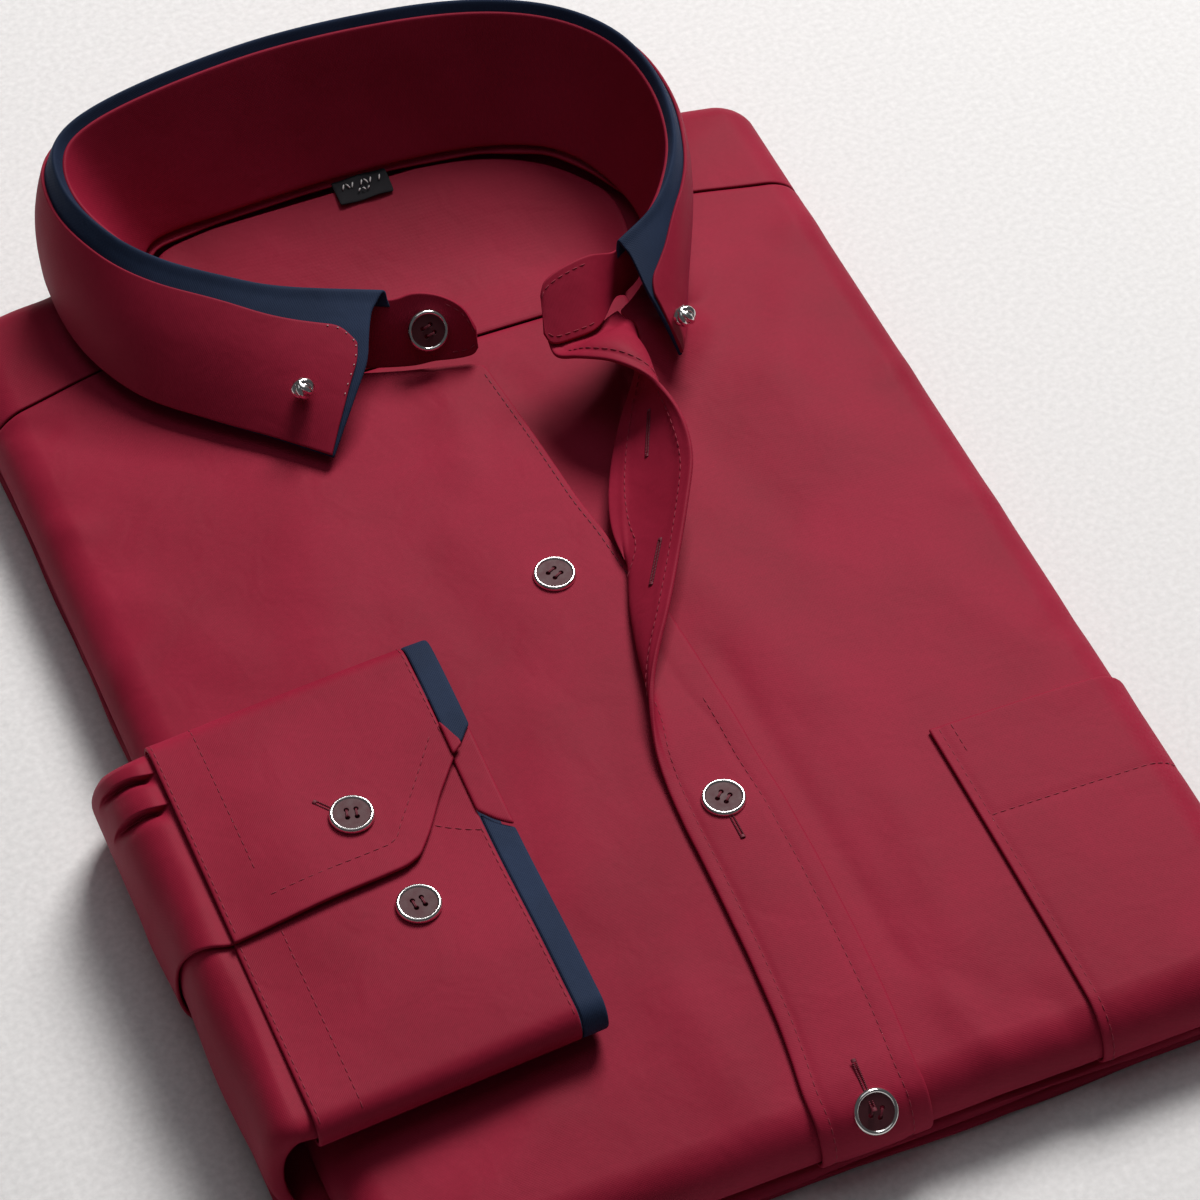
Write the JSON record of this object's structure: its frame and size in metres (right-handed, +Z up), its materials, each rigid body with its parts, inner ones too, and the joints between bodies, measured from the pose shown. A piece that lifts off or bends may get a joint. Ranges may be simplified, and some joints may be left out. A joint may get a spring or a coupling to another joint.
{
  "type": "folded dress shirt",
  "caption": "Long-sleeved button-front shirt folded flat for display, with a raised two-layer collar opened at the neck and one barrel cuff laid across the front",
  "frame": {"origin": "on the underside of the folded shirt, under the line that runs down the middle of the collar", "axes": "+X is the wearer's left, +Y runs from the bottom fold to the collar, +Z is up from the surface that the shirt lies on"},
  "size_m": [0.241, 0.3379, 0.0671],
  "materials": {
    "wine_cloth": "fine sateen weave with a soft sheen",
    "navy_cloth": "matte plain weave",
    "label_black": "woven satin label",
    "wine_button": "glossy four-hole button",
    "polished_rim": "polished metal"
  },
  "bodies": {
    "root": {"folded_layers": "wine_cloth", "front_right": "wine_cloth", "front_left": "wine_cloth", "placket_left": "wine_cloth", "yoke": "wine_cloth", "yoke_inner": "wine_cloth", "back_inner": "wine_cloth", "collar_overlay": "wine_cloth", "collar_stand": "wine_cloth", "sleeve_upper": "wine_cloth", "sleeve_lower": "wine_cloth", "cuff": "wine_cloth", "pocket": "wine_cloth", "collar_leaf": "navy_cloth", "cuff_trim": "navy_cloth", "label": "label_black", "button_stand": "wine_button", "button_front_one": "wine_button", "button_front_two": "wine_button", "button_front_three": "wine_button", "button_cuff_lap": "wine_button", "button_cuff_under": "wine_button", "rim_stand": "polished_rim", "rim_front_one": "polished_rim", "rim_front_two": "polished_rim", "rim_front_three": "polished_rim", "rim_cuff_lap": "polished_rim", "rim_cuff_under": "polished_rim", "stud_right": "polished_rim", "stud_left": "polished_rim"}
  },
  "joints": []
}
